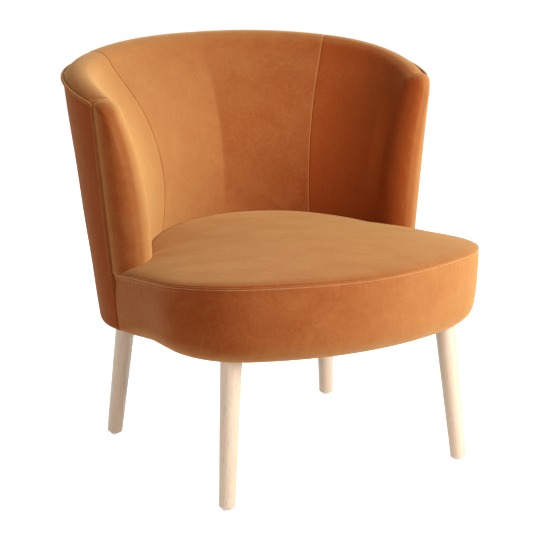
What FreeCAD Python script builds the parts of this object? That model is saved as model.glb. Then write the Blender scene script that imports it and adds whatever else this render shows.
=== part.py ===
import FreeCAD, Part
import math
import os

# Upholstered tub chair: a padded seat on four splayed turned legs, wrapped by a padded back
# whose arms end in soft rolled fronts.
# Millimetres, +Z up. Origin on the floor, under the middle of the chair's overall width and depth.
# The chair faces -Y and is symmetric about x = 0.

V = FreeCAD.Vector
UP = V(0, 0, 1)

# Overall plan: the seat's width sets the widths of the back, and both set where the legs stand
seat_half_width = 310.0
seat_front_y = -338.5
flare = 47.0                   # the back leans out this much on each side, from low_z to high_z
far = 900.0                    # half size of bodies that cut all the way through

# Outside of the back: three tangent arcs in plan, given at two heights
low_z = 256.0                  # underside of the upholstery
high_z = 700.0                 # height at which the upper plan is measured
plan_top_z = high_z + 60.0     # straight walls are drawn up to here, then trimmed
low_half_width = seat_half_width - 2.0
half_width = (low_half_width, low_half_width + flare)    # widest point of the side arc
side_radius = (150.0, 200.0)
side_centre_y = (50.5, 75.5)
rear_y = (278.5, 332.5)        # outermost point at the middle of the back
arm_front_y = 23.0             # vertical front edge of the outside cover

# Rim line in side view: the piping climbs from the arm fronts to the middle of the back
rim_z_arm = 659.0
rim_z_quarter = 690.0
rim_z_rear = 709.5
rim_quarter_y = 175.5

# Layers of the firm back wall, from the outside inward
cloth = 2.0                    # velvet with its backing
board = 3.0                    # bent hardboard
rail_depth = 25.0              # laminated plywood rails and posts
gap = 0.3                      # working clearance round soft pieces
past = 20.0                    # how far cutting bodies run past a surface

# Back frame: bent plywood rails outside, upright posts inside them
rail_board = 12.0
lower_rail_z = 322.0
lower_rail_height = 28.0
tack_rail_z = 358.0            # where the inside covers are tacked, just above the seat
tack_rail_height = 32.0
top_rail_height = 32.0
top_rail_drop = 14.0           # foam depth between the top rail and the rim line
post_width = 45.0
post_angles = (46.0, 72.0)     # corner and rear posts, degrees from the side
post_origin_y = 70.5           # the headings' common point on the middle line
screw_diameter = 6.0
screw_length = 70.0
screw_head_diameter = 12.0
screw_head_height = 4.0

# Inner face of the padding: three tangent arcs in plan where it meets the seat
inner_half_width = seat_half_width - 65.0
inner_side_radius = 120.0
inner_side_centre_y = -9.5
inner_rear_y = 186.5
seam_share = 0.5               # upright seams between the inside panels, from arm (0) to rear (1)
inner_seat_z = 400.0
rim_width_arm = 52.0
rim_width_rear = 70.0
rim_inner_drop = 10.0          # inner end of the rim's roll below the rim line
crest_arm = 9.0                # rise of the padded rim over the piping
crest_corner = 21.0
crest_rear = 23.0
bulge_arm = 12.0               # fullness of the inner face between seat and rim
bulge_corner = 40.0
bulge_rear = 32.0
padding_shares = (0.0, 0.14, 0.32, 0.52, 0.75, 1.0)   # its upright sections, from arm to rear
roll_depth = 44.0              # arm roll in front of the arm edge
roll_top_drop = 34.0           # how far the roll's top falls away at its front
roll_turns = (33.0, 60.0, 80.0)  # degrees round the roll of its own sections
roll_crest_share = 0.4         # part of the rim's rise that is left at the roll's front
rim_slant = 0.6                # part of a skin that lowers the rim's two corners

# Seat outline: front arc, corner arcs and straight sides
seat_front_radius = 520.0
seat_corner_radius = 165.0
seat_taper = 7.0               # the underside outline lies this much further in
seat_edge_radius = 36.0        # soft lower edge
seam_z_front = 394.0
seam_z_arm = 362.0
seam_rise = 3.5                # the seam's rise in the middle of the front
crown_z = 415.0                # highest point of the seat
crown_y = -89.5
seat_rear_z = 401.0            # top of the seat at the middle of the back
crown_margin = 6.0             # the crown is drawn to this far outside the seat's outline
crown_sections = 9
hem_width = 62.0               # cover turned under and stapled to the base

# Seat frame: two plywood rings with rails and leg blocks between them
base_thickness = 15.0
ring_thickness = 15.0
frame_inset = 34.0
ring_width = 62.0
base_rear_width = 98.0         # the base is wider behind, where the back stands on it
border_board = 3.0
deck_z = 354.0                 # underside of the seat foam
pad_thickness = 6.0
frame_rail_thickness = 24.0
dust_cover_thickness = 0.8
dust_cover_inset = 46.0
block_size = 74.0
block_height = 42.0
block_shift = 9.0              # block centre inward of the leg's axis

# Elastic webbing over the seat frame: long straps front to rear, cross straps over them
strap_width = 50.0
strap_thickness = 2.0
strap_lap = 34.0               # length stapled down on the ring at each end
long_strap_count = 5
long_strap_pitch = 72.0
cross_strap_y = (-190.0, -105.0, -20.0, 65.0, 135.0)
strap_ramp = 12.0              # run in which a cross strap climbs onto the long ones

# Legs, turned beech, splayed to the side and to the front or rear
foot_x_front = seat_half_width - 70.0
foot_x_rear = seat_half_width - 74.0
foot_y_front = seat_front_y + 88.0
foot_y_rear = rear_y[0] - 87.0
splay = 5.0                    # degrees in each direction
leg_top_diameter = 37.0
leg_foot_diameter = 28.0
leg_chamfer = 4.0
glide_height = 6.0
glide_diameter = 14.0
glide_flat_share = 0.55        # flat middle of its dome
glide_pin_diameter = 3.0
glide_pin_length = 16.0
bolt_diameter = 8.0
bolt_in_leg = 40.0
bolt_clearance = 0.4
tee_flange_diameter = 24.0
tee_flange_thickness = 1.6
tee_barrel_diameter = 10.0
tee_barrel_length = 10.0

# Covered cord between the inside and outside covers
piping_diameter = 5.0
piping_steps = 26              # straight lengths from an arm to the middle of the back

# Sizes that follow from the ones above
frame_face = cloth + board     # outer face of the back's rails
wall = frame_face + rail_depth + board
base_z = low_z + cloth
base_top = base_z + base_thickness
ring_top = deck_z - pad_thickness - 2 * strap_thickness
ring_z = ring_top - ring_thickness


def save(name, shape):
    """Write one sub-part and report its size."""
    print(f"{name}: {len(shape.Solids)} solid(s), {shape.Volume / 1000:.1f} cm3, valid {shape.isValid()}")
    shape.exportStep(f"parts/{name}.step")


def mirrored(shape):
    return shape.mirror(V(0, 0, 0), V(1, 0, 0))


def arc(start, middle, end):
    return Part.Arc(start, middle, end).toShape()


def line(start, end):
    return Part.LineSegment(start, end).toShape()


def loft(wires, ruled=False):
    return Part.makeLoft(wires, True, ruled)


def slab(z0, z1, y0=-far, y1=far, x0=-far, x1=far):
    return Part.makeBox(x1 - x0, y1 - y0, z1 - z0, V(x0, y0, z0))


def between(pair, z):
    """A size given at the two plan heights, at any height."""
    share = (z - low_z) / (high_z - low_z)
    return pair[0] + share * (pair[1] - pair[0])


def rear_arc(half, side, centre_y, rear):
    """Centre and radius of the rear arc that is tangent to both side arcs, and their joint angle."""
    run = rear - centre_y
    offset = half - side
    radius = (offset ** 2 + run ** 2 - side ** 2) / (2 * (run - side))
    centre = rear - radius
    return centre, radius, math.atan2(centre_y - centre, offset)


def back_plan(z):
    """Side arc centre and radius, rear arc centre and radius, and joint angle at one height."""
    side = between(side_radius, z)
    half = between(half_width, z)
    centre_y = between(side_centre_y, z)
    rear_centre, rear_radius, joint = rear_arc(half, side, centre_y, between(rear_y, z))
    return half - side, centre_y, side, rear_centre, rear_radius, joint


def back_points(z, depth, front_y):
    """Right half of the back's plan at one depth: three points on the side arc, and the rear point."""
    centre_x, centre_y, side, rear_centre, rear_radius, joint = back_plan(z)
    start = math.asin((front_y - centre_y) / (side - depth))
    angles = (start, (start + joint) / 2, joint)
    radius = side - depth
    right = [V(centre_x + radius * math.cos(a), centre_y + radius * math.sin(a), z) for a in angles]
    return right, V(0, rear_centre + rear_radius - depth, z)


def flip(point):
    return V(-point.x, point.y, point.z)


def horseshoe(z, depth, front_y):
    """The back's plan as edges from the left arm, round the rear, to the right arm."""
    right, rear = back_points(z, depth, front_y)
    left = [flip(p) for p in right]
    return [arc(left[0], left[1], left[2]), arc(left[2], rear, right[2]), arc(right[2], right[1], right[0])]


def back_wall(outer_depth, inner_depth, front_y=arm_front_y):
    """One layer of the back's wall between two depths, full height and untrimmed."""
    wires = []
    for z in (low_z, plan_top_z):
        outer = horseshoe(z, outer_depth, front_y)
        inner = horseshoe(z, inner_depth, front_y)
        first = back_points(z, outer_depth, front_y)[0][0]
        last = back_points(z, inner_depth, front_y)[0][0]
        edges = outer + [line(first, last)] + inner[::-1] + [line(flip(last), flip(first))]
        wires.append(Part.Wire(Part.__sortEdges__(edges)))
    return loft(wires, True)


def rim_circle():
    """Centre and radius, in side view, of the arc that the rim line follows."""
    quarter = V(0, rim_quarter_y, rim_z_quarter)
    circle = arc(V(0, arm_front_y, rim_z_arm), quarter, V(0, rear_y[1], rim_z_rear)).Curve
    return circle.Center, circle.Radius


RIM_CENTRE, RIM_RADIUS = rim_circle()


def rim_z(y):
    return RIM_CENTRE.z + math.sqrt(RIM_RADIUS ** 2 - (y - RIM_CENTRE.y) ** 2)


def below_rim(drop):
    """Everything under the rim line lowered by a drop."""
    y0, y1 = arm_front_y - 3 * past, rear_y[1] + 3 * past
    middle = (y0 + y1) / 2
    start, halfway, end = [V(-far, y, rim_z(y) - drop) for y in (y0, middle, y1)]
    base0, base1 = V(-far, y0, 0), V(-far, y1, 0)
    edges = [arc(start, halfway, end), line(end, base1), line(base1, base0), line(base0, start)]
    return Part.Face(Part.Wire(edges)).extrude(V(2 * far, 0, 0))


def wall_distance(origin, heading, z, depth=0.0):
    """How far the back's plan lies from a point, along a level heading."""
    centre_x, centre_y, side, rear_centre, rear_radius, joint = back_plan(z)
    for cx, cy, radius, on_side in ((centre_x, centre_y, side, True), (0.0, rear_centre, rear_radius, False)):
        dx, dy = origin.x - cx, origin.y - cy
        along = dx * heading.x + dy * heading.y
        square = along ** 2 - dx ** 2 - dy ** 2 + (radius - depth) ** 2
        if on_side and square < 0:
            continue
        reach = math.sqrt(square) - along
        angle = math.atan2(dy + reach * heading.y, dx + reach * heading.x)
        if not on_side or angle <= joint:
            return reach


def station(share):
    """Foot of the inner face and heading of an upright section, from the arm (0) to the rear (1)."""
    offset = inner_half_width - inner_side_radius
    centre, radius, joint = rear_arc(inner_half_width, inner_side_radius, inner_side_centre_y, inner_rear_y)
    start = math.asin((arm_front_y - inner_side_centre_y) / inner_side_radius)
    angle = start + share * (math.pi / 2 - start)
    if angle <= joint:
        middle_x, middle_y, reach = offset, inner_side_centre_y, inner_side_radius
    else:
        middle_x, middle_y, reach = 0.0, centre, radius
    foot = V(middle_x + reach * math.cos(angle), middle_y + reach * math.sin(angle), 0)
    return foot, V(math.cos(share * math.pi / 2), math.sin(share * math.pi / 2), 0)


def blend(arm, corner, rear, share):
    """A value that passes through its arm, corner and rear sizes."""
    from_arm, from_rear = 1 - share, share
    return (arm * from_arm * (1 - 2 * share) + 4 * corner * from_arm * from_rear
            + rear * from_rear * (2 * share - 1))


def padding_section(share, skin, turn=0.0):
    """Upright section of the back's padding, drawn in by a skin; a turn over 0 rounds the arm roll."""
    foot, heading = station(share)
    narrow = math.cos(turn)
    forward = (roll_depth - skin) * math.sin(turn)
    reach = wall_distance(foot, heading, high_z)
    rim_y = foot.y + reach * heading.y
    top = rim_z(max(rim_y, arm_front_y)) - roll_top_drop * (1 - narrow)
    crest = blend(crest_arm, crest_corner, crest_rear, share)
    crest *= roll_crest_share + (1 - roll_crest_share) * narrow
    rim = rim_width_arm + (rim_width_rear - rim_width_arm) * math.sin(share * math.pi / 2)
    bulge = blend(bulge_arm, bulge_corner, bulge_rear, share)
    outer_low = wall_distance(foot, heading, deck_z)
    outer_top = wall_distance(foot, heading, top)
    inner_top_z = top - rim_inner_drop
    middle_z = (inner_seat_z + inner_top_z) / 2
    inner_top = outer_top - rim
    inner_middle = inner_top / 2 - bulge

    def at(inner, z, outer, side):
        """A point on the inner (side 0) or outer (side 1) face, pulled in to the roll's middle."""
        centre = (inner + outer) / 2
        half = (outer - inner) / 2 * narrow - skin
        q = centre + (half if side else -half)
        return foot + heading * q + V(0, -forward, z)

    outer_middle = (outer_low + outer_top) / 2
    low = deck_z + gap + skin
    outer0 = at(0, low, outer_low, 1)
    outer1 = at(inner_top, top - rim_slant * skin, outer_top, 1)
    inner1 = at(inner_top, inner_top_z - rim_slant * skin, outer_top, 0)
    ridge = (outer1 + inner1) * 0.5 + V(0, 0, crest + rim_inner_drop / 2 - (1 - rim_slant) * skin)
    inner_mid = at(inner_middle, middle_z, outer_middle, 0)
    inner_seat = at(0, inner_seat_z, outer_low, 0)
    inner_low = at(0, low, outer_low, 0)
    edges = [line(outer0, outer1), arc(outer1, ridge, inner1), arc(inner1, inner_mid, inner_seat),
             line(inner_seat, inner_low), line(inner_low, outer0)]
    return edges


def padding(skin):
    """The whole padded inside of the back, arm roll to arm roll, drawn in by a skin."""
    rolls = [Part.Wire(padding_section(0.0, skin, math.radians(turn))) for turn in roll_turns]
    sections = [Part.Wire(padding_section(share, skin)) for share in padding_shares]
    right = rolls[::-1] + sections[:-1]
    left = [mirrored(wire) for wire in right]
    return loft(left + [sections[-1]] + right[::-1])


def seat_wire(z, inset, rear_depth):
    """Seat outline at one height, drawn in by an inset in front and a depth in the back's wall behind."""
    offset = seat_half_width - seat_corner_radius
    front_centre = seat_front_y + seat_front_radius
    centre_distance = seat_front_radius - seat_corner_radius
    corner_y = front_centre - math.sqrt(centre_distance ** 2 - offset ** 2)
    corner = seat_corner_radius - inset
    side_x = seat_half_width - inset
    joint = math.atan2(corner_y - front_centre, offset)
    step_y = arm_front_y - gap
    joint_point = V(offset + corner * math.cos(joint), corner_y + corner * math.sin(joint), z)
    corner_middle = V(offset + corner * math.cos(joint / 2), corner_y + corner * math.sin(joint / 2), z)
    corner_end = V(side_x, corner_y, z)
    side_end = V(side_x, step_y, z)
    right, rear = back_points(z, rear_depth, step_y)
    left = [flip(p) for p in right]
    front = [arc(flip(joint_point), V(0, seat_front_y + inset, z), joint_point)]
    right_side = [arc(joint_point, corner_middle, corner_end), line(corner_end, side_end),
                  line(side_end, right[0]), arc(right[0], right[1], right[2])]
    left_side = [arc(left[2], left[1], left[0]), line(left[0], flip(side_end)),
                 line(flip(side_end), flip(corner_end)),
                 arc(flip(corner_end), flip(corner_middle), flip(joint_point))]
    return Part.Wire(front + right_side + [arc(right[2], rear, left[2])] + left_side)


def seat_prism(inset, rear_depth, z0, z1):
    """Upright-sided body of the seat outline, following the wall's lean behind."""
    whole = loft([seat_wire(z, inset, rear_depth) for z in (low_z - past, high_z)], True)
    return whole.common(slab(z0, z1))


def seat_body(skin):
    """The upholstered seat below its crown: tapered sides and a soft lower edge."""
    top = seam_z_front + 3 * past
    tilt = seat_taper / (seam_z_front - low_z)
    bottom = low_z + skin
    rear_depth = wall + gap + skin
    wires = [seat_wire(z, skin + tilt * (seam_z_front - z), rear_depth) for z in (bottom, top)]
    body = loft(wires, True)
    edges = [e for e in body.Edges
             if e.BoundBox.ZMax < bottom + 1 and e.CenterOfMass.y < arm_front_y - 5]
    return body.makeFillet(seat_edge_radius - skin, edges)


def crown_heights(y):
    """Height of the seat's top on the middle line and at its sides, at one distance from the front."""
    front = V(0, seat_front_y, seam_z_front + seam_rise)
    circle = arc(front, V(0, crown_y, crown_z), V(0, inner_rear_y, seat_rear_z)).Curve
    ridge = circle.Center.z + math.sqrt(circle.Radius ** 2 - (y - circle.Center.y) ** 2)
    share = min(max((y - seat_front_y) / (arm_front_y - seat_front_y), 0), 1)
    return ridge, seam_z_front - (seam_z_front - seam_z_arm) * share ** 2


def below_crown(skin):
    """Everything under the seat's crowned top, lowered by a skin."""
    wires = []
    reach = seat_half_width + crown_margin
    spread = reach + 3 * past
    low = low_z - 2 * past
    front_y, rear = seat_front_y - crown_margin, rear_y[0]
    for k in range(crown_sections):
        y = front_y + (rear - front_y) * k / (crown_sections - 1)
        ridge, side = crown_heights(y)
        edge = side - (ridge - side) * ((spread / reach) ** 2 - 1)
        top_left, top_right = V(-spread, y, edge - skin), V(spread, y, edge - skin)
        left, right = V(-spread, y, low), V(spread, y, low)
        wires.append(Part.Wire([arc(top_left, V(0, y, ridge - skin), top_right), line(top_right, right),
                                line(right, left), line(left, top_left)]))
    return loft(wires)


def sector(angle, width, origin_y=post_origin_y):
    """Upright slab of one width along a heading, right half only."""
    box = slab(0, far, -width / 2, width / 2, 0)
    box.rotate(V(0, 0, 0), UP, angle)
    box.translate(V(0, origin_y, 0))
    return box


def leg_axis(x_sign, y_sign):
    """Foot centre on the floor and the point where the axis meets the underside of the base."""
    foot_x = foot_x_front if y_sign < 0 else foot_x_rear
    lean = math.tan(math.radians(splay))
    foot_y = foot_y_front if y_sign < 0 else foot_y_rear
    foot = V(x_sign * foot_x, foot_y, 0)
    top = foot + V(-x_sign * lean * base_z, -y_sign * lean * base_z, base_z)
    return foot, top


def rod(start, end, diameter, end_diameter=None):
    """Round bar or taper between two points."""
    axis = end - start
    if end_diameter is None:
        return Part.makeCylinder(diameter / 2, axis.Length, start, axis)
    return Part.makeCone(diameter / 2, end_diameter / 2, axis.Length, start, axis)


CORNERS = {"front_left": (-1, -1), "front_right": (1, -1), "rear_left": (-1, 1), "rear_right": (1, 1)}


def leg(x_sign, y_sign):
    foot, top = leg_axis(x_sign, y_sign)
    axis = (top - foot).normalize()
    taper = (leg_top_diameter - leg_foot_diameter) / (top - foot).Length
    start, end = foot - axis * past, top + axis * past
    body = rod(start, end, leg_foot_diameter - taper * past, leg_top_diameter + taper * past)
    body = body.common(slab(glide_height, base_z))
    sole = foot + axis * glide_height
    bevel = rod(sole - axis * leg_chamfer, sole + axis * past, leg_foot_diameter - 4 * leg_chamfer,
                leg_foot_diameter - 2 * leg_chamfer + 2 * past)
    body = body.common(bevel.fuse(rod(sole + axis * past / 2, top + axis * past, 2 * leg_top_diameter)))
    pin = rod(foot, foot + V(0, 0, glide_height + glide_pin_length), glide_pin_diameter)
    bolt = rod(top - axis * bolt_in_leg, top + axis * past, bolt_diameter)
    return body.cut(pin).cut(bolt)


def glide(x_sign, y_sign):
    """Domed steel nail glide, its pin driven into the foot."""
    foot = leg_axis(x_sign, y_sign)[0]
    half, pin, rise = glide_diameter / 2, glide_pin_diameter / 2, glide_height
    flat = half * glide_flat_share
    middle = V(flat + (half - flat) * math.sin(math.pi / 4), 0, rise * (1 - math.cos(math.pi / 4)))
    tip = rise + glide_pin_length
    profile = Part.makePolygon([V(0, 0, 0), V(flat, 0, 0), middle, V(half, 0, rise), V(pin, 0, rise),
                                V(pin, 0, tip), V(0, 0, tip), V(0, 0, 0)])
    body = Part.Face(profile).revolve(V(0, 0, 0), UP, 360)
    body.translate(foot)
    return body


def bolt_line(x_sign, y_sign):
    """Ends of a leg's hanger bolt: in the leg and just above its block."""
    foot, top = leg_axis(x_sign, y_sign)
    axis = (top - foot).normalize()
    above = (base_thickness + block_height + tee_flange_thickness) / axis.z
    return top - axis * bolt_in_leg, top + axis * above, axis


def leg_bolt(x_sign, y_sign):
    start, end, _ = bolt_line(x_sign, y_sign)
    return rod(start, end, bolt_diameter)


def tee_nut(x_sign, y_sign):
    """Flanged nut pressed into the top of the block, on the slant of the leg."""
    _, end, axis = bolt_line(x_sign, y_sign)
    under = end - axis * tee_flange_thickness
    body = rod(under, end, tee_flange_diameter)
    body = body.fuse(rod(under - axis * tee_barrel_length, under, tee_barrel_diameter))
    return body.cut(rod(under - axis * past, end + axis * past, bolt_diameter))


def leg_hole(x_sign, y_sign):
    """Clearance for the bolt and the nut's barrel and flange, through base and block."""
    start, end, axis = bolt_line(x_sign, y_sign)
    under = end - axis * tee_flange_thickness
    hole = rod(start, end + axis * past, bolt_diameter + bolt_clearance)
    hole = hole.fuse(rod(under - axis * tee_barrel_length, end, tee_barrel_diameter))
    return hole.fuse(rod(under, end + axis * past, tee_flange_diameter + bolt_clearance))


def block_centre(x_sign, y_sign):
    top = leg_axis(x_sign, y_sign)[1]
    return V(top.x - x_sign * block_shift, top.y - y_sign * block_shift, base_top)


def block(x_sign, y_sign):
    """Beech corner block that takes the leg's nut, trimmed to the seat frame's outline."""
    centre = block_centre(x_sign, y_sign)
    half = block_size / 2
    body = Part.makeBox(block_size, block_size, block_height, V(centre.x - half, centre.y - half, centre.z))
    body = body.common(seat_prism(frame_inset, frame_face + gap, low_z, high_z))
    return body.cut(leg_hole(x_sign, y_sign))


def lapped(straps):
    """Straps trimmed to end on the top ring, one lap outside its opening."""
    reach = ring_width - strap_lap
    trim = seat_prism(frame_inset + reach, frame_face + rail_depth + reach, ring_top, deck_z)
    return Part.makeCompound([strap.common(trim) for strap in straps])


def long_strap(x):
    """Flat strap from the front of the ring to its rear."""
    half = strap_width / 2
    return slab(ring_top, ring_top + strap_thickness, -far, far, x - half, x + half)


def cross_strap(y):
    """Strap from side to side that climbs over the long straps and comes down again."""
    edge = long_strap_pitch * (long_strap_count - 1) / 2 + strap_width / 2
    over, end = edge + gap, edge + gap + strap_ramp
    low, high = ring_top, ring_top + strap_thickness
    line_up = [(-far, low), (-end, low), (-over, high), (over, high), (end, low), (far, low)]
    lower = [V(x, y - strap_width / 2, z) for x, z in line_up]
    upper = [point + V(0, 0, strap_thickness) for point in lower]
    outline = Part.makePolygon(lower + upper[::-1] + [lower[0]])
    return Part.Face(outline).extrude(V(0, strap_width, 0))


def piping(extra=0.0):
    """Covered cord round the rim and down both arm edges to the seat, with room round it."""
    radius = piping_diameter / 2 + extra
    depth = -(piping_diameter / 2 + gap)
    right = []
    for k in range(piping_steps + 1):
        foot, heading = station(k / piping_steps)
        rim_y = (foot + heading * wall_distance(foot, heading, high_z)).y
        top = rim_z(max(rim_y, arm_front_y))
        right.append(foot + heading * wall_distance(foot, heading, top, depth) + V(0, 0, top))
    points = [flip(p) for p in right] + right[-2::-1]
    wires = []
    for k, point in enumerate(points):
        before, after = points[max(k - 1, 0)], points[min(k + 1, len(points) - 1)]
        wires.append(Part.Wire([Part.makeCircle(radius, point, after - before)]))
    cord = loft(wires, True)
    foot, heading = station(0.0)
    low = foot + heading * wall_distance(foot, heading, seam_z_arm, depth) + V(0, 0, seam_z_arm)
    for end, start in ((right[0], low), (flip(right[0]), flip(low))):
        cord = cord.fuse(rod(start, end, 2 * radius)).fuse(Part.makeSphere(radius, end))
    return cord


def seam_wedge(side):
    """Everything in front of the upright seam plane on one side of the back."""
    foot, heading = station(seam_share)
    box = slab(0, far, -far, 0)
    box.rotate(V(0, 0, 0), UP, math.degrees(math.atan2(heading.y, heading.x)))
    box.translate(foot)
    return box if side > 0 else mirrored(box)


def post(angle):
    """Right-hand post on a heading, standing on the base and ending under the top rail."""
    shape = back_wall(frame_face + rail_board, frame_face + rail_depth).common(sector(angle, post_width))
    return shape.common(below_rim(top_rail_drop + top_rail_height)).common(slab(base_top, high_z))


def arm_post():
    """Right-hand post at the front edge of the arm."""
    shape = back_wall(frame_face + rail_board, frame_face + rail_depth)
    shape = shape.common(slab(base_top, high_z, arm_front_y, arm_front_y + post_width, 0))
    return shape.common(below_rim(top_rail_drop + top_rail_height))


def post_screw(shape):
    """Screw up through the base into the foot of a post, its head let into the base."""
    foot = shape.common(slab(base_top, base_top + 1))
    centre = foot.Solids[0].CenterOfMass
    head = V(centre.x, centre.y, base_z)
    lean = V(between(half_width, high_z) - between(half_width, low_z), 0, high_z - low_z)
    outward = V(centre.x, centre.y - post_origin_y, 0).normalize()
    axis = (UP * lean.z + outward * lean.x).normalize()
    body = rod(head, head + axis * screw_length, screw_diameter)
    body = body.fuse(Part.makeCylinder(screw_head_diameter / 2, screw_head_height, head, UP))
    return body.common(slab(base_z, high_z))


def straight_rail(x0, x1, y0, y1):
    """Beech rail standing between the base ring and the top ring."""
    return slab(base_top, ring_z, y0, y1, x0, x1)


os.makedirs("parts", exist_ok=True)

# Where each soft layer ends against the firm wall, the seat and the back's padding
edge_zone = back_wall(-past / 2, frame_face + gap).common(below_rim(0))
wall_zone = back_wall(-past / 2, wall + gap).common(below_rim(top_rail_drop - gap))
roll_zone = slab(0, seam_z_arm, -far, arm_front_y)
seat_zone = seat_body(-gap).common(below_crown(-gap)).common(slab(0, far, -far, arm_front_y))
padding_zone = padding(-gap).common(slab(0, far, arm_front_y - gap, far))
leg_zone = []
for signs in CORNERS.values():
    foot, top = leg_axis(*signs)
    leg_zone.append(rod(foot, top + (top - foot).normalize() * past, leg_top_diameter + 2 * gap))

# Padded inside of the back: three cover panels and three foams behind them
zones = [edge_zone, wall_zone, seat_zone, roll_zone]
cover = padding(0.0).cut(padding(cloth)).cut(zones + [piping(gap / 3)])
foam = padding(cloth + gap).cut(zones).cut(cover)
left_wedge, right_wedge = seam_wedge(-1), seam_wedge(1)
for name, whole in (("inside_cover", cover), ("back_foam", foam)):
    save(f"{name}_left", whole.common(left_wedge))
    save(f"{name}_right", whole.common(right_wedge))
    save(f"{name}_centre", whole.cut(left_wedge).cut(right_wedge))
save("rim_piping", piping())

# Outside of the back
hem = back_wall(cloth / 2, hem_width).common(slab(low_z, base_z))
outside = back_wall(0, cloth).common(below_rim(0)).fuse(hem)
save("outside_cover", outside.cut(leg_zone))
save("outside_board", back_wall(cloth, frame_face).common(below_rim(cloth)).common(slab(base_z, high_z + 50)))

# Frame of the back
save("lower_rail", back_wall(frame_face, frame_face + rail_board).common(
    slab(lower_rail_z, lower_rail_z + lower_rail_height)))
save("tack_rail", back_wall(frame_face, frame_face + rail_board).common(
    slab(tack_rail_z, tack_rail_z + tack_rail_height)))
save("top_rail", back_wall(frame_face, frame_face + rail_depth).common(below_rim(top_rail_drop)).cut(
    below_rim(top_rail_drop + top_rail_height)))
posts = {"post_arm": arm_post(), "post_corner": post(post_angles[0]), "post_rear": post(post_angles[1])}
screws = []
for name, right_post in posts.items():
    right_screw = post_screw(right_post)
    for side, turn in (("right", lambda shape: shape), ("left", mirrored)):
        screws.append(turn(right_screw))
        save(f"{name}_{side}", turn(right_post.cut(right_screw)))
save("post_screws", Part.makeCompound(screws))
save("inner_lining", back_wall(wall - board, wall).common(below_rim(top_rail_drop)).common(
    slab(deck_z + gap, high_z + 50)))

# Seat frame
leg_holes = [leg_hole(*signs) for signs in CORNERS.values()]
base = seat_prism(frame_inset, frame_face + gap, base_z, base_top)
base = base.cut(seat_prism(frame_inset + ring_width, frame_face + base_rear_width, base_z, base_top))
soft_edge = slab(base_z, base_top, -far, arm_front_y - gap - cloth).cut(seat_body(cloth + gap / 2))
save("base_ring", base.cut(leg_holes + screws).cut(soft_edge))
ring = seat_prism(frame_inset, frame_face + rail_depth + gap, ring_z, ring_top)
inside = seat_prism(frame_inset + ring_width, frame_face + rail_depth + ring_width, ring_z, ring_top)
save("top_ring", ring.cut(inside))
half = block_size / 2
front_block, rear_block = block_centre(1, -1), block_centre(1, 1)
front_y = front_block.y - half
rear_y1 = rear_block.y + half
side_x = min(front_block.x, rear_block.x) + half
save("frame_rail_front", straight_rail(half - front_block.x, front_block.x - half, front_y,
                                       front_y + frame_rail_thickness))
save("frame_rail_rear", straight_rail(half - rear_block.x, rear_block.x - half,
                                      rear_y1 - frame_rail_thickness, rear_y1))
right_rail = straight_rail(side_x - frame_rail_thickness, side_x, front_block.y + half, rear_block.y - half)
save("frame_rail_right", right_rail)
save("frame_rail_left", mirrored(right_rail))
for name, signs in CORNERS.items():
    save(f"leg_block_{name}", block(*signs))
border_z = base_top - base_thickness / 2
border = seat_prism(frame_inset - border_board, wall + gap, border_z, ring_top).cut(
    seat_prism(frame_inset, wall + gap + border_board, border_z, ring_top))
save("border_board", border.common(slab(border_z, ring_top, -far, arm_front_y - post_width)))

# Webbing and the pad over it
middle = (long_strap_count - 1) / 2
save("webbing_long", lapped([long_strap(long_strap_pitch * (k - middle)) for k in range(long_strap_count)]))
save("webbing_cross", lapped([cross_strap(y) for y in cross_strap_y]))
save("webbing_pad", seat_prism(frame_inset, wall + 2 * gap, deck_z - pad_thickness, deck_z))

# Seat upholstery
below_cover = below_crown(cloth)
whole_seat = seat_body(0)
seat_skin = whole_seat.cut(seat_body(cloth))
hem_zone = seat_prism(hem_width, wall + ring_width, 0, base_z)
save("seat_cover_top", whole_seat.common(below_crown(0)).cut(below_cover).cut(padding_zone))
side_cover = seat_skin.common(below_cover).common(slab(0, far, -far, arm_front_y - gap)).cut(hem_zone)
save("seat_cover_border", side_cover.cut(leg_zone))
soft_seat = seat_body(cloth + gap).common(below_crown(cloth + gap))
save("seat_foam", soft_seat.common(slab(deck_z, far)).cut(padding_zone))
side_foam = soft_seat.common(slab(base_z, deck_z - gap, -far, arm_front_y - gap - cloth))
save("border_foam", side_foam.cut(seat_prism(frame_inset - border_board - gap, wall, 0, far)))
dust = seat_prism(dust_cover_inset, dust_cover_inset / 2, low_z - dust_cover_thickness, low_z)
save("dust_cover", dust.cut(leg_zone))

# Legs and their fastenings
for name, signs in CORNERS.items():
    save(f"leg_{name}", leg(*signs))
    save(f"glide_{name}", glide(*signs))
save("leg_bolts", Part.makeCompound([leg_bolt(*signs) for signs in CORNERS.values()]))
save("tee_nuts", Part.makeCompound([tee_nut(*signs) for signs in CORNERS.values()]))
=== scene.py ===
import functools
import bmesh
import bpy
from math import asin, atan2, copysign, cos, degrees, exp, hypot, pi, radians, sin, sqrt
from mathutils import Matrix, Vector
from mathutils.geometry import intersect_point_line


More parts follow.
